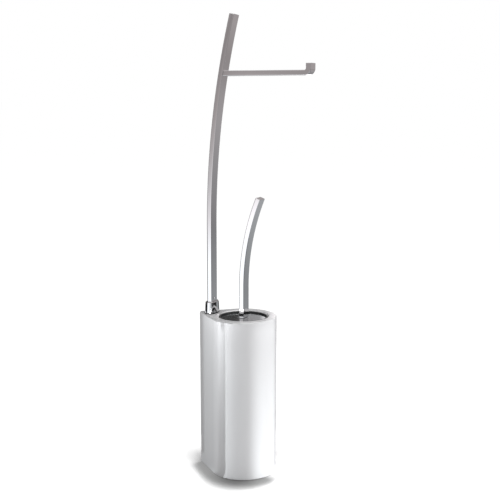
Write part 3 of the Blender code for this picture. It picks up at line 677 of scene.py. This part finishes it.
def upward_bend(x, foot, straight_top, radius, lean):
    """A bar's path: straight up, then leaning over towards +X."""
    path = [(x, foot, 0), (x, foot + BEND_LEAD, 0), (x, straight_top - BEND_LEAD, 0)]
    for step in range(BEND_STEPS + 1):
        turn = lean * step / BEND_STEPS
        path.append((x + radius * (1 - cos(turn)), straight_top + radius * sin(turn), turn))
    return path


COLUMN_X = -0.0548
COLUMN_FOOT = 0.2553
COLUMN_STRAIGHT_TOP = 0.394
COLUMN_BEND = 1.339
COLUMN_ABOVE_ARM = 0.0882
ARM_HEIGHT = 0.632
COLUMN_LEAN = asin((ARM_HEIGHT + COLUMN_ABOVE_ARM - COLUMN_STRAIGHT_TOP) / COLUMN_BEND)

column_path = upward_bend(COLUMN_X, COLUMN_FOOT, COLUMN_STRAIGHT_TOP, COLUMN_BEND, COLUMN_LEAN)
column = flat_bar("column_bar", column_path, BAR_BACK_EDGE)

chrome = grained("chrome", metallic=1,
                 tint=((40, 4), (0.735, 0.73, 0.74), (0.795, 0.79, 0.80)),
                 roughness=((55, 6), 0.03, 0.08),
                 relief=((40, 3, (60, 60, 1)), 0.000002, 0.3))
column.data.materials.append(chrome)
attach(column, "stand")
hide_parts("column")


# Arm: the same flat bar, turned up at its free end so that the roll stays on. Two countersunk screws
# from behind the column go into its end.

SEAT_GAP = 0.0003
ARM_LEAN = asin((ARM_HEIGHT - COLUMN_STRAIGHT_TOP) / COLUMN_BEND)
ARM_SEAT = COLUMN_X + COLUMN_BEND * (1 - cos(ARM_LEAN)) + BAR_THICKNESS / (2 * cos(ARM_LEAN))
ARM_REACH = 0.1433
ARM_TIP_RISE = 0.0099
ARM_TIP_TOP = ARM_HEIGHT + BAR_THICKNESS / 2 + ARM_TIP_RISE
ARM_BEND = 0.006
ARM_BEND_STEPS = 16
ARM_BEND_LEAD = 0.003
ARM_TIP_LEAD = 0.001

tip_x = ARM_SEAT + ARM_REACH - BAR_THICKNESS / 2
path = [(ARM_SEAT + SEAT_GAP, ARM_HEIGHT, pi / 2), (ARM_SEAT + BEND_LEAD, ARM_HEIGHT, pi / 2),
        (tip_x - ARM_BEND - ARM_BEND_LEAD, ARM_HEIGHT, pi / 2)]
for step in range(ARM_BEND_STEPS + 1):
    turn = pi / 2 * (1 - step / ARM_BEND_STEPS)
    path.append((tip_x - ARM_BEND + ARM_BEND * cos(turn),
                 ARM_HEIGHT + ARM_BEND - ARM_BEND * sin(turn), turn))
path += [(tip_x, ARM_TIP_TOP - ARM_TIP_LEAD, 0), (tip_x, ARM_TIP_TOP, 0)]
arm = flat_bar("roll_arm_bar", path, BAR_EDGE, -tan(ARM_LEAN))
arm.data.materials.append(chrome)

# the screws' countersinks behind the column
SCREW_RADIUS = 0.0019
SCREW_HEAD = 0.0036
SCREW_PLAY = 0.00015
SCREW_SIDE = 0.005
SINK_START = -0.004
SINK_STEPS = 32

behind = ARM_SEAT - BAR_THICKNESS / cos(ARM_LEAN) + BAR_THICKNESS / 2 * sin(ARM_LEAN) + SEAT_GAP
for side in (-SCREW_SIDE, SCREW_SIDE):
    rings = []
    for depth, radius in ((SINK_START, SCREW_HEAD), (0, SCREW_HEAD),
                          (SCREW_HEAD - SCREW_RADIUS, SCREW_RADIUS)):
        turns = [2 * pi * i / SINK_STEPS for i in range(SINK_STEPS)]
        rings.append([(behind + depth, side + (radius + SCREW_PLAY) * cos(turn),
                       ARM_HEIGHT + (radius + SCREW_PLAY) * sin(turn)) for turn in turns])
    sink = skin("arm_screw_sink", rings)
    cut = column.modifiers.new("sink", "BOOLEAN")
    cut.object = sink
    column.modifiers["flats"].show_viewport = False
    bored = column.evaluated_get(bpy.context.evaluated_depsgraph_get())
    column.data = bpy.data.meshes.new_from_object(bored)
    column.modifiers.remove(cut)
    column.modifiers["flats"].show_viewport = True
    bpy.data.objects.remove(sink)
column.data.set_sharp_from_angle(angle=SHARP)
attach(arm, "stand")
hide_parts("roll_arm")
for number in (1, 2):
    dress(f"arm_screw_{number}", zinc)


# Collar: a flared chrome sleeve that slides down over the foot of the column on a thin rubber gasket.
# A small pan-head screw in the column keeps it from riding up.

COLLAR_FOOT = 0.2566
COLLAR_HEIGHT = 0.017
COLLAR_TOP = COLLAR_FOOT + COLLAR_HEIGHT
COLLAR_TOP_WALL = 0.0044
COLLAR_FOOT_WALL = 0.0052
COLLAR_OVAL = 2.5
COLLAR_RIM = 0.0008
COLLAR_STEPS = 144
COLLAR_SIDE_STEPS = 8
COLLAR_RIM_STEPS = 6
NEARLY_ZERO = 1e-9


def collar_level(wall, height):
    """The collar's oval outline, fuller than an ellipse."""
    level = []
    for i in range(COLLAR_STEPS):
        turn = 2 * pi * i / COLLAR_STEPS
        x, y = (copysign(abs(way) ** (2 / COLLAR_OVAL), way) for way in (cos(turn), sin(turn)))
        level.append((COLUMN_X + (BAR_THICKNESS / 2 + wall) * x, (BAR_WIDTH / 2 + wall) * y, height))
    return level


def bar_level(height):
    """The flat bar's outline with the collar's play round it, point for point in the collar's."""
    length, width = BAR_THICKNESS / 2 + SEAT_GAP, BAR_WIDTH / 2 + SEAT_GAP
    level = []
    for x, y, _ in collar_level(0, height):
        away = Vector((x - COLUMN_X, y))
        corner = (BAR_EDGE if away.x > 0 else BAR_BACK_EDGE) + SEAT_GAP
        hit = away * min(length / max(abs(away.x), NEARLY_ZERO), width / max(abs(away.y), NEARLY_ZERO))
        middle = Vector((copysign(length - corner, hit.x), copysign(width - corner, hit.y)))
        if abs(hit.x) > abs(middle.x) and abs(hit.y) > abs(middle.y):
            hit = middle + (hit - middle).normalized() * corner
        level.append((COLUMN_X + hit.x, hit.y, height))
    return level


levels = []
for step in range(COLLAR_SIDE_STEPS + 1):
    share = step / COLLAR_SIDE_STEPS
    height = COLLAR_FOOT + (COLLAR_TOP - COLLAR_RIM - COLLAR_FOOT) * share
    levels.append(collar_level(blended(COLLAR_FOOT_WALL, COLLAR_TOP_WALL, share), height))
rim = arc((0, COLLAR_TOP - COLLAR_RIM), COLLAR_RIM, 0, pi / 2, COLLAR_RIM_STEPS)
for inset, height in rim[1:]:
    levels.append(collar_level(COLLAR_TOP_WALL - COLLAR_RIM + inset, height))
levels += [bar_level(COLLAR_TOP), bar_level(COLLAR_FOOT)]
collar = skin("column_collar_sleeve", levels, ring_ends=True)
collar.data.materials.append(chrome)
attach(collar, "stand")
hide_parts("column_collar")
dress("collar_gasket", rubber)
dress("collar_screw", zinc)


# What holds the column down: two tie rods through the container's solid corner, with nuts on a steel
# plate in a pocket under it.

for node in ("tie_rod_1", "tie_rod_2", "tie_nut_1", "tie_nut_2", "clamp_plate"):
    dress(node, zinc)


# Liner: a black moulded cup that hangs by its rim on the ledge in the mouth. Its thin lip stands up
# round the lid, and it lifts out for washing.

LIP_TOP = 0.2538
LIP_OUTSIDE = 0.0379
LIP_WALL = 0.0012
RIM_TOP = 0.2423
RIM_CHAMFER = 0.0003
RIM_CHAMFER_HEIGHT = 0.0008
LINER_OUTSIDE = 0.0363
LINER_INSIDE = 0.0347
LINER_FLOOR = 0.0174
LINER_WALL = 0.0016
LINER_CORNER = 0.003
LINER_INNER_CORNER = 0.004


def turned(name, profile, steps=128, ring_ends=False):
    """A turned piece about Z from (radius, height) points; radius 0 is an end on the axis."""
    turns = [2 * pi * i / steps for i in range(steps)]
    rings = []
    for radius, height in profile:
        if radius == 0:
            rings.append([(0, 0, height)])
        else:
            rings.append([(radius * cos(turn), radius * sin(turn), height) for turn in turns])
    return skin(name, rings, ring_ends)


lip = LIP_WALL / 2
profile = [(0, LINER_FLOOR + LINER_WALL)]
profile += arc((LINER_INSIDE - LINER_INNER_CORNER, LINER_FLOOR + LINER_WALL + LINER_INNER_CORNER),
               LINER_INNER_CORNER, -pi / 2, 0)
profile += [(LINER_INSIDE, RIM_TOP - RIM_CHAMFER_HEIGHT), (LINER_INSIDE + RIM_CHAMFER, RIM_TOP),
            (LIP_OUTSIDE - LIP_WALL, RIM_TOP)]
profile += arc((LIP_OUTSIDE - lip, LIP_TOP - lip), lip, pi, 0)
profile += [(LIP_OUTSIDE, LEDGE + SEAT_GAP), (LINER_OUTSIDE, LEDGE + SEAT_GAP)]
profile += arc((LINER_OUTSIDE - LINER_CORNER, LINER_FLOOR + LINER_CORNER), LINER_CORNER, 0, -pi / 2)
profile += [(0, LINER_FLOOR)]
liner = turned("liner_cup_moulding", profile)

black_plastic = grained("black_plastic",
                        tint=((60, 4), (0.012, 0.013, 0.014), (0.022, 0.023, 0.024)),
                        roughness=((150, 4), 0.25, 0.40),
                        relief=((2200, 2), 0.00003, 0.4))
liner.data.materials.append(black_plastic)
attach(liner, "stand")
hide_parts("liner_cup")


# Brush handle: a shorter length of the same chromed flat bar, bent tighter, with its back edges a
# little rounder than its front ones. It stands on the lid, on a stud, just off the stud's middle.

LID_TOP = 0.2522
HANDLE_FOOT = LID_TOP + SEAT_GAP
HANDLE_BACK_EDGE = 0.0012
HANDLE_X = 0.0012
HANDLE_STRAIGHT = 0.048
HANDLE_BEND = 0.373
HANDLE_LEAN = radians(22.3)

handle_path = upward_bend(HANDLE_X, HANDLE_FOOT, HANDLE_FOOT + HANDLE_STRAIGHT, HANDLE_BEND,
                          HANDLE_LEAN)
handle = flat_bar("brush_handle_bar", handle_path, HANDLE_BACK_EDGE)
handle.data.materials.append(chrome)
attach(handle, "brush")
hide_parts("brush_handle")


# Lid: a pressed chrome disc with a slight crown and a short skirt, turned bright on the lathe.
# The fan of light round its middle comes partly from its turned gloss and partly from painted
# highlights: lighter and darker rays in its colour. A rubber ring under its skirt rests on the
# liner's rim.

LID_RADIUS = 0.0363
LID_CROWN = 0.0008
LID_BOSS = 0.0112
LID_FOOT = 0.2449
LID_WALL = 0.0015
LID_UNDERSIDE = 0.2502
LID_EDGE = 0.0009
LID_STEPS = 192
STUD_HOLE = 0.0028
CROWN_BLEND = 0.002
CROWN_BLEND_STEPS = 8
CROWN_STEPS = 12

# the crown begins softly, over a width on either side of the boss's edge, and then slopes evenly
profile = [(STUD_HOLE, LID_TOP), (LID_BOSS - CROWN_BLEND, LID_TOP)]
slope = LID_CROWN / (LID_RADIUS - LID_EDGE - LID_BOSS)
width = 2 * CROWN_BLEND / CROWN_BLEND_STEPS
for step in range(1, CROWN_BLEND_STEPS + 1):
    profile.append((LID_BOSS - CROWN_BLEND + width * step,
                    LID_TOP - slope * width * step * step / (2 * CROWN_BLEND_STEPS)))
for step in range(1, CROWN_STEPS):
    radius = (LID_BOSS + CROWN_BLEND
              + (LID_RADIUS - LID_EDGE - LID_BOSS - CROWN_BLEND) * step / CROWN_STEPS)
    profile.append((radius, LID_TOP - slope * (radius - LID_BOSS)))
profile += arc((LID_RADIUS - LID_EDGE, LID_TOP - LID_CROWN - LID_EDGE), LID_EDGE, pi / 2, 0)
profile += [(LID_RADIUS, LID_FOOT), (LID_RADIUS - LID_WALL, LID_FOOT),
            (LID_RADIUS - LID_WALL, LID_UNDERSIDE), (STUD_HOLE, LID_UNDERSIDE)]
lid = turned("brush_lid_disc", profile, LID_STEPS, ring_ends=True)

# painted highlight: rays of lighter and darker colour round the lid's middle, by bearing
PAINTED_FAN_SCALE = 14
PAINTED_FAN_DETAIL = 4
PAINTED_FAN_DARK = (0.42, 0.46, 0.475)
PAINTED_FAN_LIGHT = (0.78, 0.83, 0.85)
LATHE_MARKS = 0.7

lid_chrome, tree, shader = finish("lid_chrome", 1)
place = tree.nodes.new("ShaderNodeTexCoord")
apart = tree.nodes.new("ShaderNodeSeparateXYZ")
tree.links.new(place.outputs["Object"], apart.inputs[0])
bearing = number_step(tree, "ARCTAN2", apart.outputs["Y"], apart.outputs["X"])
rays = tree.nodes.new("ShaderNodeTexNoise")
rays.noise_dimensions = "1D"
rays.inputs["Scale"].default_value = PAINTED_FAN_SCALE
rays.inputs["Detail"].default_value = PAINTED_FAN_DETAIL
tree.links.new(bearing, rays.inputs["W"])
tree.links.new(tinted(tree, spread(tree, rays.outputs["Fac"], 0, 1), PAINTED_FAN_DARK, PAINTED_FAN_LIGHT),
               shader.inputs["Base Color"])
tree.links.new(spread(tree, noise(tree, 70, 5), 0.09, 0.13), shader.inputs["Roughness"])
shader.inputs["Anisotropic"].default_value = LATHE_MARKS
round_way = tree.nodes.new("ShaderNodeTangent")
round_way.direction_type = "RADIAL"
round_way.axis = "Z"
tree.links.new(round_way.outputs[0], shader.inputs["Tangent"])
lid.data.materials.append(lid_chrome)
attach(lid, "brush")
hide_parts("brush_lid")
dress("lid_seal", rubber)


# Under the lid: the stud's washer and nut clamp the lid to the handle, and the stud goes on into the
# stem's socket.

for node in ("handle_stud", "lid_washer", "lid_nut"):
    dress(node, zinc)


# Stem and head core: black plastic mouldings. The stem has a socket for the stud at its top and a
# spigot at its foot, on which the core is pushed.

for node in ("brush_stem", "head_core"):
    dress(node, black_plastic)


# Bristles: white nylon in tufts round the core, full in the middle and shorter at both ends, and a
# crown of tufts under the end.

CORE_RADIUS = 0.0085
SLEEVE_TOP = 0.1692
SLEEVE_FOOT = 0.0895
BRUSH_RADIUS = 0.0315
BRUSH_END_RADIUS = 0.0235
STRAND = 0.00024
STRAND_TAPER = ((0, 1), (0.6, 0.85), (1, 0.45))
TUFT_ROWS = 16
TUFTS_ROUND = 24
TUFT_STRANDS = 13
TUFT_TURN = 2.4
TUFT_ROOT = 0.0008
TUFT_FAN = 0.0040
TUFT_STRAY = 0.0006
BRUSH_ROUNDING = 4
ROOT_OUT = 0.0004
TIP_IN = 0.0006
TIP_UNEVEN = 0.0005
CROWN_RINGS = ((0.0018, 5), (0.0050, 11), (0.0084, 17))
CROWN_SEED = 5000
CROWN_SEED_STEP = 20
CROWN_SPLAY = 1.35
CROWN_FAN = 0.0016
CROWN_ROOT_DROP = 0.0002
CROWN_FOOT = 0.0792
CROWN_UNEVEN = 0.0004
SCATTER_TURN = 12.9898
SCATTER_SIZE = 43758.5453


def scatter(seed):
    """A repeatable number between -1 and 1."""
    value = sin(seed * SCATTER_TURN) * SCATTER_SIZE
    return 2 * (value - int(value)) - (1 if value > 0 else -1)


def filament(bm, root, tip):
    """A thin three-sided strand, tapered to its tip."""
    along = (tip - root).normalized()
    side = along.orthogonal().normalized()
    other = along.cross(side)
    rows = []
    for share, width in STRAND_TAPER:
        centre = root.lerp(tip, share)
        rows.append([bm.verts.new(centre + (side * cos(turn) + other * sin(turn)) * STRAND * width)
                     for turn in (0, 2 * pi / 3, 4 * pi / 3)])
    for low, high in zip(rows, rows[1:]):
        for i in range(3):
            bm.faces.new((low[i], low[(i + 1) % 3], high[(i + 1) % 3], high[i]))
    bm.faces.new(rows[-1])
    bm.faces.new(tuple(reversed(rows[0])))


bm = bmesh.new()
up = Vector((0, 0, 1))
for row in range(TUFT_ROWS):
    height = SLEEVE_TOP - (SLEEVE_TOP - SLEEVE_FOOT) * (row + 0.5) / TUFT_ROWS
    share = 2 * (height - SLEEVE_FOOT) / (SLEEVE_TOP - SLEEVE_FOOT) - 1
    reach = BRUSH_RADIUS - (BRUSH_RADIUS - BRUSH_END_RADIUS) * share ** BRUSH_ROUNDING
    for tuft in range(TUFTS_ROUND):
        turn = 2 * pi * (tuft + 0.5 * (row % 2)) / TUFTS_ROUND
        out = Vector((cos(turn), sin(turn), 0))
        side = Vector((-sin(turn), cos(turn), 0))
        for strand in range(TUFT_STRANDS):
            seed = (row * TUFTS_ROUND + tuft) * TUFT_STRANDS + strand + 1
            way = side * cos(TUFT_TURN * strand) + up * sin(TUFT_TURN * strand)
            off = TUFT_ROOT * sqrt(strand / TUFT_STRANDS)
            fan = TUFT_FAN * sqrt(strand / TUFT_STRANDS)
            root = out * (CORE_RADIUS + ROOT_OUT) + way * off
            root.z += height
            tip = out * (reach - TIP_IN + TIP_UNEVEN * scatter(seed))
            tip += way * fan
            tip += (side * scatter(seed + 0.3) + up * scatter(seed + 0.7)) * TUFT_STRAY
            tip.z += height
            filament(bm, root, tip)
side_tufts = smooth_piece("side_bristle_tufts", bm)

bm = bmesh.new()
for ring_number, (ring_radius, count) in enumerate(CROWN_RINGS):
    for tuft in range(count):
        turn = 2 * pi * (tuft + 0.5 * (ring_number % 2)) / count
        out = Vector((cos(turn), sin(turn), 0))
        side = Vector((-sin(turn), cos(turn), 0))
        for strand in range(TUFT_STRANDS):
            seed = CROWN_SEED + (ring_number * CROWN_SEED_STEP + tuft) * TUFT_STRANDS + strand
            spin = TUFT_TURN * strand
            off = (out * cos(spin) + side * sin(spin)) * sqrt(strand / TUFT_STRANDS)
            root = out * ring_radius + off * TUFT_ROOT
            tip = out * ring_radius * CROWN_SPLAY + off * CROWN_FAN
            root.z = SLEEVE_FOOT - SEAT_GAP - CROWN_ROOT_DROP
            tip.z = CROWN_FOOT + CROWN_UNEVEN * (1 + scatter(seed))
            filament(bm, root, tip)
end_tufts = smooth_piece("end_bristle_tufts", bm)

nylon = grained("white_nylon",
                tint=((600, 3), (0.72, 0.72, 0.71), (0.80, 0.80, 0.79)),
                roughness=((900, 2), 0.30, 0.45))
for tufts, node in ((side_tufts, "side_bristles"), (end_tufts, "tip_bristles")):
    tufts.data.materials.append(nylon)
    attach(tufts, "brush")
    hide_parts(node)
